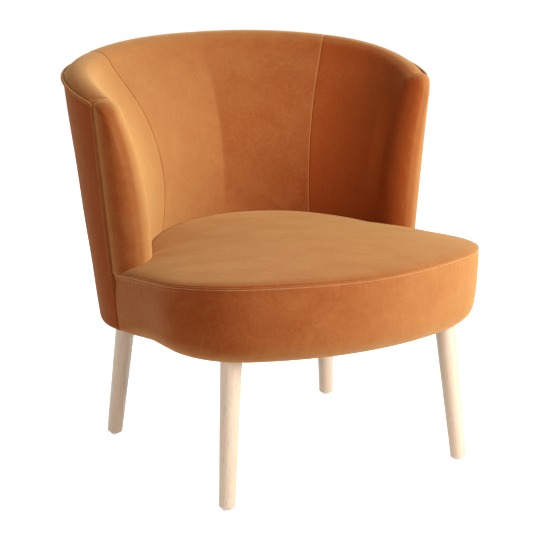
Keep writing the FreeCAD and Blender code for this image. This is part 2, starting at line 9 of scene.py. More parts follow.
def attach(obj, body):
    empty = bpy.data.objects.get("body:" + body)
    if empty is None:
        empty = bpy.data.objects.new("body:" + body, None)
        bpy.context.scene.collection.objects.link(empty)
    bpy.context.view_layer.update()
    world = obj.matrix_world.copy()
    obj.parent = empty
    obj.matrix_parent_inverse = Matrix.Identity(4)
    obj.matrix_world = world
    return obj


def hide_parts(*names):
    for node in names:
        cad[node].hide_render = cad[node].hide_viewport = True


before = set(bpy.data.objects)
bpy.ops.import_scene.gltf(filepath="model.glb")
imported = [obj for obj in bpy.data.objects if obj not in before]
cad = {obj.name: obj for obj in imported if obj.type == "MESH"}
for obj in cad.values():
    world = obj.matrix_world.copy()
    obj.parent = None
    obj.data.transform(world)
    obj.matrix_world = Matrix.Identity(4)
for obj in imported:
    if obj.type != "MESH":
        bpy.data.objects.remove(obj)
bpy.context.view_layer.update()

# --- Camera and studio ------------------------------------

# The camera stands in front of the chair and a little to its right hand side, at the height of
# a person sitting down, with a long lens.
CAMERA_PLACE = Vector((-1.60061, -2.69917, 1.13799))
CAMERA_AZIMUTH = -30.5349      # degrees from the +Y direction
CAMERA_DOWN = 14.4055          # degrees below the level
LENS = 119.06                  # millimetres, on a 36 mm square sensor

lens = bpy.data.cameras.new("camera")
lens.lens = LENS
lens.sensor_width = 36.0
lens.clip_start = 0.05
lens.clip_end = 60.0
camera = bpy.data.objects.new("camera", lens)
camera.location = CAMERA_PLACE
camera.rotation_euler = (radians(90 - CAMERA_DOWN), 0, radians(CAMERA_AZIMUTH))
bpy.context.scene.collection.objects.link(camera)
bpy.context.scene.camera = camera
bpy.context.scene.view_settings.view_transform = "Standard"


def clamp(value):
    return min(1.0, max(0.0, value))


def steps(start, end, count):
    """Evenly spaced values from start to end, both included."""
    return [start + (end - start) * k / count for k in range(count + 1)]


def linear(hex_colour):
    """An sRGB hex value as linear colour with alpha."""
    channels = [int(hex_colour[i:i + 2], 16) / 255 for i in (1, 3, 5)]
    return [c / 12.92 if c <= 0.04045 else ((c + 0.055) / 1.055) ** 2.4 for c in channels] + [1.0]


def add_node(tree, kind, inputs=None, **settings):
    """One node with its settings; an input is a value, a socket, or a node's first output."""
    made = tree.nodes.new("ShaderNode" + kind)
    for key, value in settings.items():
        setattr(made, key, value)
    for key, value in (inputs or {}).items():
        if isinstance(value, bpy.types.Node):
            value = value.outputs[0]
        if isinstance(value, bpy.types.NodeSocket):
            tree.links.new(value, made.inputs[key])
        else:
            made.inputs[key].default_value = value
    return made


def emptied(owner):
    """Clears a material's or a world's nodes, and gives add_node bound to it."""
    owner.use_nodes = True
    owner.node_tree.nodes.clear()
    return functools.partial(add_node, owner.node_tree)


def blank_material(name):
    """A material without nodes, its add, and the object's own coordinates for its patterns."""
    material = bpy.data.materials.new(name)
    add = emptied(material)
    return material, add, add("TexCoord").outputs["Object"]


# A seamless white paper sweep: white to the camera, with the chair's soft shadow kept.
sweep = bpy.data.materials.new("white_paper_sweep")
add = emptied(sweep)
light_path = add("LightPath")
paper = add("BsdfDiffuse", {"Color": linear("#F4F4F4")})
lift = add("Emission", {"Color": (1, 1, 1, 1), "Strength": 0.80})
seen = add("Math", {0: light_path.outputs["Is Camera Ray"], 1: light_path.outputs["Is Glossy Ray"]},
    operation="MAXIMUM")
dark = add("Emission", {"Strength": 0.0})
glow = add("MixShader", {0: seen, 1: dark, 2: lift})
both = add("AddShader", {0: paper, 1: glow})
add("OutputMaterial", {"Surface": both})

bpy.ops.object.select_all(action="DESELECT")
bpy.ops.mesh.primitive_plane_add(size=40.0, location=(0, 0, 0))
floor = bpy.context.object
floor.name = "floor"
floor.data.materials.append(sweep)

# The room is white to the camera, and lights the chair evenly and weakly from all round.
ROOM_LIGHT = 0.24
world = bpy.data.worlds.new("white_room")
bpy.context.scene.world = world
add = emptied(world)
path = add("LightPath")
plain = add("Background", {"Color": (1, 1, 1, 1), "Strength": ROOM_LIGHT})
white = add("Background", {"Color": (1, 1, 1, 1), "Strength": 1.0})
direct = add("Math", {0: path.outputs["Is Camera Ray"], 1: path.outputs["Is Glossy Ray"]},
    operation="MAXIMUM")
direct = add("Math", {0: direct, 1: path.outputs["Is Transmission Ray"]}, operation="MAXIMUM")
room = add("MixShader", {0: direct, 1: plain, 2: white})
add("OutputWorld", {"Surface": room})


def soft_box(name, azimuth, elevation, distance, size, watts):
    """A square studio lamp that faces the chair, placed by its direction from the camera's view."""
    a = radians(CAMERA_AZIMUTH + azimuth)
    e = radians(elevation)
    aim = Vector((0, 0, 0.42))
    away = Vector((sin(a) * cos(e), -cos(a) * cos(e), sin(e)))
    lamp = bpy.data.lights.new(name, "AREA")
    lamp.shape = "SQUARE"
    lamp.size = size
    lamp.energy = watts
    holder = bpy.data.objects.new(name, lamp)
    holder.location = aim + away * distance
    holder.rotation_euler = (-away).to_track_quat("-Z", "Y").to_euler()
    bpy.context.scene.collection.objects.link(holder)


soft_box("key_light", 62, 24, 2.6, 1.3, 84)
soft_box("top_light", 15, 72, 2.6, 1.5, 6)
soft_box("fill_light", -8, 16, 3.2, 2.0, 12)
soft_box("low_fill_light", -75, 6, 3.0, 1.6, 13)
soft_box("rear_light", 176, 34, 3.0, 2.0, 34)

# --- Legs -------------------------------------------------

# Four turned beech legs, tapered and splayed, sanded and finished with a clear satin lacquer.
# Pale pinkish wood with soft growth-ring figure and fine short flecks along the grain.
# Each leg's foot, and its growth rings' centre, which lies at a different side of each leg, so
# that no two show the same figure.
LEGS = {"front_left": ((-0.240, -0.2505), (0.012, 0.016, 0.0)),
        "front_right": ((0.240, -0.2505), (-0.030, 0.020, 0.1)),
        "rear_left": ((-0.236, 0.1915), (0.022, -0.028, 0.2)),
        "rear_right": ((0.236, 0.1915), (-0.018, -0.024, 0.3))}
SPLAY = radians(5.0)
BEECH = ("#E9D3BB", "#CDAB8A", "#A67D5C")      # the ground, the growth rings and the flecks
RING_WIDTH = 0.0042            # growth rings where the turning cuts them, in metres


def satin_beech(name, foot, ring_centre, colours, ring_strength):
    """Lacquered beech whose grain runs up a splayed leg."""
    material, add, place = blank_material(name)
    lean_x = copysign(SPLAY, foot[0])
    lean_y = copysign(SPLAY, foot[1])
    upright = add("Mapping", {"Vector": place, "Location": (-foot[0], -foot[1], 0)})
    upright = add("Mapping", {"Vector": upright, "Rotation": (-lean_y, lean_x, 0),
        "Location": ring_centre})
    wavy = add("TexNoise", {"Vector": upright, "Scale": 9.0, "Detail": 2.0})
    bent = add("VectorMath", {0: wavy.outputs["Color"], 1: (0.5, 0.5, 0.5)}, operation="SUBTRACT")
    bent = add("VectorMath", {0: bent, 1: (0.010, 0.010, 0.0)}, operation="MULTIPLY")
    bent = add("VectorMath", {0: upright, 1: bent})
    squeezed = add("Mapping", {"Vector": bent, "Rotation": (0.028, 0.020, 0), "Scale": (1, 1, 0.16)})
    rings = add("TexWave", {"Vector": squeezed, "Scale": 1 / (RING_WIDTH * 20), "Distortion": 0.6,
        "Detail": 2.0, "Detail Scale": 1.5}, wave_type="RINGS", rings_direction="Z", wave_profile="SAW")
    stretched = add("Mapping", {"Vector": upright, "Scale": (1, 1, 0.09)})
    flecks = add("TexNoise", {"Vector": stretched, "Scale": 900.0, "Detail": 1.0})
    flecks = add("MapRange", {"Value": flecks, "From Min": 0.60, "From Max": 0.74, "To Max": 0.45})
    fibres = add("Mapping", {"Vector": upright, "Scale": (1, 1, 0.03)})
    fibres = add("TexNoise", {"Vector": fibres, "Scale": 420.0, "Detail": 3.0})
    figure = add("Math", {0: rings.outputs["Fac"], 1: ring_strength}, operation="MULTIPLY")
    figure = add("Math", {0: fibres, 1: 0.35, 2: figure}, operation="MULTIPLY_ADD")
    pale, ring, fleck = (linear(colour) for colour in colours)
    body = add("Mix", {0: figure, 6: pale, 7: ring}, data_type="RGBA")
    body = add("Mix", {0: flecks, 6: body.outputs[2], 7: fleck}, data_type="RGBA")
    bump = add("Bump", {"Height": fibres, "Strength": 0.12, "Distance": 0.0004})
    rough = add("MapRange", {"Value": fibres, "To Min": 0.36, "To Max": 0.48})
    surface = add("BsdfPrincipled", {"Base Color": body.outputs[2], "Roughness": rough, "Normal": bump,
        "Coat Weight": 0.25, "Coat Roughness": 0.22, "Specular IOR Level": 0.4})
    add("OutputMaterial", {"Surface": surface})
    return material


def finish_node(name, material):
    """Gives a rigid CAD piece its real finish."""
    mesh = cad[name].data
    mesh.materials.clear()
    mesh.materials.append(material)


for corner, (foot, ring_centre) in LEGS.items():
    lacquered = satin_beech(f"lacquered_beech_{corner}", foot, ring_centre, BEECH, 0.55)
    finish_node(f"leg_{corner}", lacquered)

# --- Metal pieces -----------------------------------------

# Domed nail glides under the feet: steel, stamped and nickel plated, slightly scuffed.
# Bolts, nuts and screws: steel with a dull bluish zinc coat.
NICKEL = "#C9CCD1"
ZINC = "#B4BAC2"


def plated_steel(name, colour, roughness, scuff_scale):
    """Plated steel with fine scuffs that spread its gloss."""
    material, add, place = blank_material(name)
    scuffs = add("TexNoise", {"Vector": place, "Scale": scuff_scale, "Detail": 4.0})
    rough = add("MapRange", {"Value": scuffs, "To Min": roughness - 0.08, "To Max": roughness + 0.12})
    bump = add("Bump", {"Height": scuffs, "Strength": 0.08, "Distance": 0.0002})
    surface = add("BsdfPrincipled", {"Base Color": linear(colour), "Metallic": 1.0, "Roughness": rough,
        "Normal": bump})
    add("OutputMaterial", {"Surface": surface})
    return material


nickel_plate = plated_steel("nickel_plated_steel", NICKEL, 0.28, 900.0)
zinc_plate = plated_steel("zinc_plated_steel", ZINC, 0.42, 500.0)
for corner in LEGS:
    finish_node(f"glide_{corner}", nickel_plate)
for name in ("leg_bolts", "tee_nuts", "post_screws"):
    finish_node(name, zinc_plate)

# --- Seat and back frame ----------------------------------

# Birch plywood rings, rails and posts, cut on a router, with their dark and pale plies on the
# edges; planed beech rails and corner blocks between the rings; brown hardboard skins.
PLIES = ("#D8B98C", "#A98355")
PLY_THICKNESS = 0.0015         # one veneer
HARDBOARD = ("#6B4A2F", "#8A6543")


def close_material(add, figure, height, colours, relief, roughness, sheen=0.0):
    """Mixes two colours by a figure, raises a relief (strength, depth), and ends the material."""
    colour = add("Mix", {0: figure, 6: linear(colours[0]), 7: linear(colours[1])}, data_type="RGBA")
    bump = add("Bump", {"Height": height, "Strength": relief[0], "Distance": relief[1]})
    surface = add("BsdfPrincipled", {"Base Color": colour.outputs[2], "Roughness": roughness,
        "Sheen Weight": sheen, "Normal": bump})
    add("OutputMaterial", {"Surface": surface})


def birch_plywood(name):
    """Plywood whose plies show as thin level bands on its edges."""
    material, add, place = blank_material(name)
    plies = add("TexWave", {"Vector": place, "Scale": 1 / (PLY_THICKNESS * 40), "Distortion": 0.4},
        wave_type="BANDS", bands_direction="Z", wave_profile="SIN")
    along = add("Mapping", {"Vector": place, "Scale": (0.05, 1, 1)})
    grain = add("TexNoise", {"Vector": along, "Scale": 300.0, "Detail": 4.0})
    share = add("Math", {0: plies.outputs["Fac"], 1: grain}, operation="MULTIPLY")
    close_material(add, share, grain, PLIES, (0.2, 0.0005), 0.62)
    return material


def pressed_hardboard(name):
    """Hardboard: smooth brown pressed fibres."""
    material, add, place = blank_material(name)
    fibres = add("TexNoise", {"Vector": place, "Scale": 700.0, "Detail": 5.0})
    close_material(add, fibres, fibres, HARDBOARD, (0.2, 0.0003), 0.55)
    return material


plywood = birch_plywood("birch_plywood")
hardboard = pressed_hardboard("pressed_hardboard")
rail_colours = ("#D9B78F", "#B98E62", "#8C6341")
planed_beech = satin_beech("planed_beech", (0, 0), (0.03, 0.02, 0), rail_colours, 0.4)
for name in ("lower_rail", "tack_rail", "top_rail", "base_ring", "top_ring"):
    finish_node(name, plywood)
for side in ("left", "right"):
    for post in ("arm", "corner", "rear"):
        finish_node(f"post_{post}_{side}", plywood)
for name in ("outside_board", "inner_lining", "border_board"):
    finish_node(name, hardboard)
for side in ("front", "rear", "left", "right"):
    finish_node(f"frame_rail_{side}", planed_beech)
for corner in LEGS:
    finish_node(f"leg_block_{corner}", planed_beech)

# --- Velvet -----------------------------------------------

# Short-pile cotton velvet in burnt orange, woven and then brushed. Its colour runs from deep to pale
# with brushed patches and pile tone, with painted sheen where a face is seen at a grazing angle, and
# with painted light on faces towards the key lamp.
VELVET_DEEP = "#8B3E17"
VELVET_PALE = "#DDAA68"
VELVET_SHEEN = "#FFD592"
NAP_GRAIN = 0.0016             # clumps of pile; the real ones are finer than the render shows
NAP_PATCH = 0.045              # patches brushed one way
NAP_MOTTLE = 0.007             # spots between the two
PAINTED_LIGHT_WAY = (0.90, -0.30, 0.0)   # faces that look this way are painted paler, as painted light from the key lamp's side
PALE_START = -0.16             # pale share of a face before the patches, the painted sheen, the painted light and the panel's shift add to it


def cotton_velvet(name, painted_light_shift, painted_sheen_share):
    """Velvet with softly brushed patches, painted paler as sheen at grazing angles and as light towards
    the key lamp; its shift moves a panel paler or deeper as painted light and shade.
    """
    material, add, place = blank_material(name)
    patches = add("TexNoise", {"Vector": place, "Scale": 1 / NAP_PATCH, "Detail": 3.0,
        "Roughness": 0.55, "Distortion": 0.6})
    clumps = add("TexNoise", {"Vector": place, "Scale": 1 / NAP_GRAIN, "Detail": 2.0})
    mottle = add("TexNoise", {"Vector": place, "Scale": 1 / NAP_MOTTLE, "Detail": 2.0})
    # Painted sheen: the colour turns paler where the face is seen at a grazing angle.
    facing = add("LayerWeight", {"Blend": 0.5})
    grazing = add("MapRange", {"Value": facing.outputs["Facing"], "From Min": 0.10, "From Max": 0.95})
    # Painted light: faces turned towards the key lamp's side are painted paler.
    turned = add("VectorMath", {0: place.node.outputs["Normal"], 1: PAINTED_LIGHT_WAY}, operation="DOT_PRODUCT")
    share = painted_light_shift + PALE_START
    for part, weight in ((patches, 0.14), (clumps, 0.20), (mottle, 0.10), (grazing, painted_sheen_share),
                         (turned.outputs["Value"], 0.20)):
        share = add("Math", {0: part, 1: weight, 2: share}, operation="MULTIPLY_ADD")
    colour = add("Mix", {0: share, 6: linear(VELVET_DEEP), 7: linear(VELVET_PALE)}, data_type="RGBA")
    brushed = add("Bump", {"Height": patches, "Strength": 0.30, "Distance": 0.006})
    napped = add("Bump", {"Height": clumps, "Strength": 0.35, "Distance": 0.0005, "Normal": brushed})
    surface = add("BsdfPrincipled", {"Base Color": colour.outputs[2], "Roughness": 0.75,
        "Specular IOR Level": 0.10, "Specular Tint": linear(VELVET_SHEEN), "Sheen Weight": 0.30,
        "Sheen Roughness": 0.42, "Sheen Tint": linear(VELVET_SHEEN), "Normal": napped})
    add("OutputMaterial", {"Surface": surface})
    return material


# Lit and shaded copies of one velvet: each part has its own painted light shift and painted sheen share,
# paler on the lit left inside, deeper on the shaded right inside and the outside.
velvet = cotton_velvet("cotton_velvet", 0.05, 0.45)
velvet_left = cotton_velvet("cotton_velvet_painted_lit_left", 0.06, 0.56)
velvet_right = cotton_velvet("cotton_velvet_painted_shade_right", -0.02, 0.42)
velvet_outside = cotton_velvet("cotton_velvet_painted_shade_outside", -0.03, 0.20)
velvet_border = cotton_velvet("cotton_velvet_border", 0.04, 0.34)
velvet_seat = cotton_velvet("cotton_velvet_seat", -0.05, 0.48)

# --- Padded inside of the back ----------------------------

# One long pad of foam wrapped in three velvet panels, joined by two upright seams. It rolls over
# the rim to the piping, and round the front of each arm. The cover is stretched and stapled.
# All sizes are the chair's own, in metres; a pair holds the sizes at LOW_Z and at HIGH_Z.
SIDE_WAY, UP = Vector((1, 0, 0)), Vector((0, 0, 1))
LOW_Z, HIGH_Z = 0.256, 0.700
HALF_WIDTH = (0.308, 0.355)
SIDE_RADIUS = (0.150, 0.200)
SIDE_CENTRE_Y = (0.0505, 0.0755)
REAR_Y = (0.2785, 0.3325)
ARM_FRONT_Y = 0.023
RIM_LINE = ((0.023, 0.659), (0.1755, 0.690), (0.3325, 0.7095))
INNER_HALF, INNER_RADIUS, INNER_CENTRE_Y, INNER_REAR_Y = 0.245, 0.120, -0.0095, 0.1865
DECK_Z = 0.354


def between(pair, z):
    return pair[0] + (z - LOW_Z) / (HIGH_Z - LOW_Z) * (pair[1] - pair[0])


def rear_arc(half, side, centre_y, rear):
    """Centre, radius and joint angle of the rear arc that is tangent to both side arcs."""
    run, offset = rear - centre_y, half - side
    radius = (offset ** 2 + run ** 2 - side ** 2) / (2 * (run - side))
    centre = rear - radius
    return centre, radius, atan2(centre_y - centre, offset)


def wall_arcs(z):
    """The wall's side arc and rear arc at a height, as (x, y, radius), and their joint's angle."""
    side, half, centre_y = between(SIDE_RADIUS, z), between(HALF_WIDTH, z), between(SIDE_CENTRE_Y, z)
    rear_centre, rear_radius, joint = rear_arc(half, side, centre_y, between(REAR_Y, z))
    return (half - side, centre_y, side), (0.0, rear_centre, rear_radius), joint


def wall_distance(origin, heading, z):
    """How far the outside of the back lies from a point, along a level heading."""
    side_arc, back_arc, joint = wall_arcs(z)
    for cx, cy, radius in (side_arc, back_arc):
        dx, dy = origin.x - cx, origin.y - cy
        along = dx * heading.x + dy * heading.y
        reach = -along + sqrt(along ** 2 - dx ** 2 - dy ** 2 + radius ** 2)
        if atan2(dy + reach * heading.y, dx + reach * heading.x) <= joint:
            break
    return reach


def circle_through(a, b, c):
    """Centre and radius of the circle through three points (y, z)."""
    (ax, ay), (bx, by), (cx, cy) = a, b, c
    a2, b2, c2 = ax ** 2 + ay ** 2, bx ** 2 + by ** 2, cx ** 2 + cy ** 2
    d = 2 * (ax * (by - cy) + bx * (cy - ay) + cx * (ay - by))
    ux = (a2 * (by - cy) + b2 * (cy - ay) + c2 * (ay - by)) / d
    uy = (a2 * (cx - bx) + b2 * (ax - cx) + c2 * (bx - ax)) / d
    return ux, uy, hypot(ax - ux, ay - uy)


RIM_Y, RIM_Z, RIM_R = circle_through(*RIM_LINE)


def rim_height(y):
    return RIM_Z + sqrt(RIM_R ** 2 - (y - RIM_Y) ** 2)


def station(share):
    """Foot of the inner face and heading of an upright section, from the arm (0) to the rear (1)."""
    offset = INNER_HALF - INNER_RADIUS
    centre, radius, joint = rear_arc(INNER_HALF, INNER_RADIUS, INNER_CENTRE_Y, INNER_REAR_Y)
    start = asin((ARM_FRONT_Y - INNER_CENTRE_Y) / INNER_RADIUS)
    angle = start + share * (pi / 2 - start)
    x, y, radius = (offset, INNER_CENTRE_Y, INNER_RADIUS) if angle <= joint else (0.0, centre, radius)
    foot = Vector((x + radius * cos(angle), y + radius * sin(angle), 0))
    return foot, Vector((cos(share * pi / 2), sin(share * pi / 2), 0))


def blend3(arm, corner, rear, share):
    """A smooth course through three values, at a share of 0, a half and 1."""
    return (arm * (1 - share) * (1 - 2 * share) + 4 * corner * share * (1 - share)
            + rear * share * (2 * share - 1))


def arc_points(a, b, c, count):
    """Points along the arc from a through b to c, without the last."""
    normal = (b - a).cross(c - a).normalized()
    mid_ab, mid_bc = (a + b) / 2, (b + c) / 2
    d1, d2 = (b - a).cross(normal), (c - b).cross(normal)
    w = mid_bc - mid_ab
    t = w.cross(d2).dot(d1.cross(d2)) / d1.cross(d2).length_squared
    centre = mid_ab + d1 * t
    start = a - centre
    sweep_angle = start.angle(c - centre)
    if start.angle(b - centre) > sweep_angle or (start.cross(c - centre)).dot(normal) < 0:
        sweep_angle = 2 * pi - sweep_angle
    return [centre + Matrix.Rotation(sweep_angle * k / count, 3, normal) @ start for k in range(count)]


def line_points(a, b, count):
    return [a.lerp(b, k / count) for k in range(count)]


ROLL_DEPTH = 0.044             # at the seat
ROLL_TOP_LESS = 0.24           # share by which it is less at the rim
ROLL_TOP_DROP = 0.034          # its top front corner lies this much lower
ROLL_LOW_Z = 0.3605            # the roll in front of the arm rests on the seat
BEHIND = 0.006                 # the pad's side that the outside cover hides lies this far in
TUCKED = 0.0014                # the pad's top edge lies this far behind the piping
CREST = (0.009, 0.021, 0.023)  # height over the rim at the arm, the corner and the rear
BULGE = (0.012, 0.040, 0.032)  # fullness of the inner face at the same places
RIM_WIDTH, RIM_WIDENS = 0.052, 0.018   # at the arm, and by how much it is wider at the rear
INNER_DROP = 0.010             # the inner edge of the rim lies this far below the outer one
SHOULDER = 0.012               # the outer side bends in towards the piping this far below the rim
SEAT_LEVEL = 0.400             # the inner face is upright below this height
SOFTENED, SOFTENINGS = 9, 12   # corners each side of the rim's inner edge, and how many times
SECTION_COUNTS = (38, 4, 24, 36, 6, 10)    # outer side, shoulder, crest, inner side, foot, underside


def pad_section(share, tuck=TUCKED, pinch=0.0):
    """Closed upright section of the pad, from its outer foot over the rim to its inner foot."""
    foot, heading = station(share)
    on_roll = share == 0.0
    rim_y = foot.y + wall_distance(foot, heading, HIGH_Z) * heading.y
    top = rim_height(max(rim_y, ARM_FRONT_Y))
    crest, bulge = blend3(*CREST, share), blend3(*BULGE, share)
    rim = RIM_WIDTH + RIM_WIDENS * sin(share * pi / 2)
    outer_low = wall_distance(foot, heading, DECK_Z)
    outer_top = wall_distance(foot, heading, top)
    inner_top_z = top - INNER_DROP
    inner_top = outer_top - rim

    def at(q, z):
        return foot + heading * q + Vector((0, 0, z))

    hidden = tuck if on_roll else BEHIND
    low = ROLL_LOW_Z if on_roll else DECK_Z + 0.0003
    outer0, shoulder = at(outer_low - hidden, low), at(outer_top - hidden, top - SHOULDER)
    outer1, inner1 = at(outer_top - tuck, top), at(inner_top, inner_top_z)
    ridge = (outer1 + inner1) / 2 + Vector((0, 0, crest + INNER_DROP / 2))
    inner_mid = at(inner_top / 2 - bulge, (SEAT_LEVEL + inner_top_z) / 2)
    inner_seat, inner_low = at(0, SEAT_LEVEL), at(0, low)
    a, a2, b, c, d, e = SECTION_COUNTS
    points = line_points(outer0, shoulder, a) + line_points(shoulder, outer1, a2)
    points += arc_points(outer1, ridge, inner1, b) + arc_points(inner1, inner_mid, inner_seat, c)
    points += line_points(inner_seat, inner_low, d) + line_points(inner_low, outer0, e)
    turned = a + a2 + b
    for _ in range(SOFTENINGS):
        before = [p.copy() for p in points]
        for k in range(turned - SOFTENED, turned + SOFTENED + 1):
            points[k] = (before[k - 1] + 2 * before[k] + before[k + 1]) / 4
    if pinch:
        before = [p.copy() for p in points]
        for k, p in enumerate(points):
            along = before[(k + 1) % len(points)] - before[k - 1]
            outward = (heading * along.z - Vector((0, 0, along.dot(heading)))).normalized()
            gather = 1 + 0.35 * sin(2 * pi * k / 3.7) * sin(k * 0.9 + 1.0)
            points[k] = p - outward * pinch * gather
    return points


def roll_section(turn, tuck):
    """The arm's section, drawn in to its middle line as the roll turns forward."""
    foot, heading = station(0.0)
    points = pad_section(0.0, tuck)
    pairs = [((p - foot).dot(heading), p.z) for p in points]
    a, a2, b, c, d, e = SECTION_COUNTS
    outer, inner = pairs[:a + a2 + 1], pairs[a + a2 + b:a + a2 + b + c + d + 1][::-1]
    highest = max(z for _, z in pairs)

    def across(side, z):
        for (q0, z0), (q1, z1) in zip(side, side[1:]):
            if z <= z1:
                return q0 + (q1 - q0) * (z - z0) / (z1 - z0)
        return side[-1][0]

    narrow = cos(turn)
    moved = []
    for q, z in pairs:
        middle = (across(outer, z) + across(inner, z)) / 2
        rise = (z - ROLL_LOW_Z) / (highest - ROLL_LOW_Z)
        forward = ROLL_DEPTH * (1 - ROLL_TOP_LESS * rise ** 2.5) * sin(turn)
        point = foot + heading * (middle + (q - middle) * narrow)
        moved.append(point + Vector((0, -forward, z - ROLL_TOP_DROP * (1 - narrow) * rise ** 3)))
    # Both sides' corners come to equal heights before the cap closes them.
    level = clamp((degrees(turn) - 45) / 35)
    for k in range(len(moved) // 2):
        first, second = moved[(k - e // 2) % len(moved)], moved[-1 - k - e // 2]
        shift = level * (second.z - first.z) / 2
        first.z, second.z = first.z + shift, second.z - shift
    return moved


# The left arm's dart, from the rim to the inner corner of the roll.
DART = ((-0.3429, 0.0258, 0.6586), (-0.3385, 0.0230, 0.6625), (-0.3294, 0.0150, 0.6658),
        (-0.3208, 0.0093, 0.6650), (-0.3131, 0.0085, 0.6643), (-0.3105, 0.0060, 0.6612))
DART_DEPTH = 0.0016
DART_WIDTH = 0.0019
DART_REACH, DART_SPREAD = 0.045, 0.025     # only the mesh within these of it is moved
HOLLOW_BEHIND, HOLLOW_WIDTH, HOLLOW_DEPTH = 0.009, 0.006, 0.0016


def press_dart(panel, side):
    """The short sewn dart at the top of an arm's front: a thin dip, and a soft hollow behind it."""
    line = [Vector((-side * x, y, z)) for x, y, z in DART]
    for vertex in panel.data.vertices:
        if (vertex.co - line[2]).length > DART_REACH:
            continue
        near = []
        for k, (start, end) in enumerate(zip(line, line[1:])):
            part = clamp(intersect_point_line(vertex.co, start, end)[1])
            offset = vertex.co - start.lerp(end, part)
            near.append((offset.length, (k + part) / (len(line) - 1), offset.y + 0.3 * offset.z))
        away, share, behind = min(near)
        if away > DART_SPREAD:
            continue
        fade = sin(pi * min(0.96, max(0.04, share))) ** 0.5
        dip = DART_DEPTH * exp(-(away / DART_WIDTH) ** 2)
        behind = copysign(away, behind) - HOLLOW_BEHIND
        dip += HOLLOW_DEPTH * exp(-(behind / HOLLOW_WIDTH) ** 2)
        vertex.co -= vertex.normal * (dip * fade)


def zip_loop(loop):
    """Four-sided faces that close a loop of an even number of corners."""
    count = len(loop)
    return [(loop[k], loop[k + 1], loop[count - 2 - k], loop[count - 1 - k])
            for k in range(count // 2 - 1)]


WELD = 0.00002                 # corners of a tube that lie nearer than this become one


def mesh_piece(name, points, faces, weld=0.0):
    """A new object of these faces, turned outwards."""
    mesh = bpy.data.meshes.new(name)
    mesh.from_pydata([tuple(p) for p in points], [], faces)
    made = bpy.data.objects.new(name, mesh)
    bpy.context.scene.collection.objects.link(made)
    editable = bmesh.new()
    editable.from_mesh(mesh)
    if weld:
        bmesh.ops.remove_doubles(editable, verts=editable.verts, dist=weld)
    bmesh.ops.recalc_face_normals(editable, faces=editable.faces)
    editable.to_mesh(mesh)
    editable.free()
    return made


def ring_faces(start, count, rings):
    """Four-sided faces between neighbouring rings of corners."""
    return [(r + k, r + (k + 1) % count, r + count + (k + 1) % count, r + count + k)
            for r in range(start, start + count * (rings - 1), count) for k in range(count)]


def closed_tube(name, rows, start=0):
    """A closed body skinned through equal closed sections; its caps' faces begin at a corner."""
    count = len(rows[0])
    points = [p for row in rows for p in row]
    faces = ring_faces(0, count, len(rows))
    last = (len(rows) - 1) * count
    cap = [(k - start) % count for k in range(count)]
    faces += zip_loop(cap) + zip_loop([last + k for k in cap])
    return mesh_piece(name, points, faces, WELD)


def flip_row(row):
    return [Vector((-p.x, p.y, p.z)) for p in row]


def soften(piece, material):
    """One level of smooth subdivision, applied, and the piece's material."""
    bpy.ops.object.select_all(action="DESELECT")
    bpy.context.view_layer.objects.active = piece
    piece.select_set(True)
    smooth = piece.modifiers.new("smooth", "SUBSURF")
    smooth.levels = smooth.render_levels = 1
    bpy.ops.object.modifier_apply(modifier=smooth.name)
    bpy.ops.object.shade_smooth()
    piece.data.materials.append(material)


# Rows of sections: round the roll at the arm's front, along the side, and across the rear. Next to
# an upright seam the cover dips in, and both panels' ends turn under each other.
ROLL_TURNS = (83, 80, 76, 73, 65, 56, 47, 38, 29, 20, 11, 4, 0)
SEAM_SHARE = 0.5
SEAM_DIP = ((0.0110, 0.00003), (0.0070, 0.00008), (0.0040, 0.00018), (0.0019, 0.00040),
            (0.0, 0.0010), (-0.0025, 0.0040))     # (share of the way from the seam, depth)
SIDE_STEPS, REAR_STEPS = 84, 76

roll_rows = [roll_section(radians(turn), 0.0018 * max(0, 1 - turn / 24)) for turn in ROLL_TURNS]
side_rows = [pad_section(k / SIDE_STEPS) for k in range(1, 41)]
side_rows += [pad_section(SEAM_SHARE - away, pinch=dip) for away, dip in SEAM_DIP]
rear_rows = [pad_section(SEAM_SHARE + away, pinch=dip) for away, dip in reversed(SEAM_DIP)]
rear_rows += [pad_section(SEAM_SHARE + k / REAR_STEPS) for k in range(2, 39)]

right_rows = roll_rows + side_rows
left_rows = [flip_row(row) for row in right_rows]
centre_rows = rear_rows + [flip_row(row) for row in rear_rows[-2::-1]]
for name, rows, cloth in (("left", left_rows, velvet_left), ("right", right_rows, velvet_right),
                          ("centre", centre_rows, velvet)):
    panel = closed_tube(f"inside_panel_{name}", rows, SECTION_COUNTS[-1] // 2)
    soften(panel, cloth)
    if name != "centre":
        press_dart(panel, -1 if name == "left" else 1)
    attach(panel, "root")
    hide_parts(f"inside_cover_{name}", f"back_foam_{name}")

# --- Outside cover of the back ----------------------------

# One piece of velvet over thin wadding, stretched round the hardboard shell: folded over its top
# edge behind the piping, turned round the arms' front edges, and stapled under the base.
LOW_FOLD = 0.008               # radius of its lower edge
FRONT_FOLD = 0.003             # radius of its front edges
COVER_THICKNESS = 0.0019
HEM_DEPTH = 0.060
WADDING = 0.0007               # mean fullness of its outer face
ARC_SHARE = 0.42               # part of its length that lies on a side arc


def wall_point(share, z, depth=0.0):
    """A point of the back's wall, from the arm's front edge (0) to the middle of the rear (1)."""
    side_arc, back_arc, joint = wall_arcs(z)
    cx, cy, radius = side_arc if share <= ARC_SHARE else back_arc
    radius -= depth
    if share <= ARC_SHARE:
        start = asin((ARM_FRONT_Y - cy) / radius)
        angle = start + (joint - start) * share / ARC_SHARE
    else:
        angle = joint + (pi / 2 - joint) * (share - ARC_SHARE) / (1 - ARC_SHARE)
    return Vector((cx + radius * cos(angle), cy + radius * sin(angle), z))


def soft_wave(u, v):
    """Slow uneven swelling between about -1 and 1, the same on every run."""
    return (sin(u * 6.1 + 1.3 * sin(v * 2.3) + 0.7)
            + sin(v * 7.7 + 1.9 * sin(u * 3.1) + 2.1) + sin(u * 3.3 - v * 4.9 + 4.0)) / 3


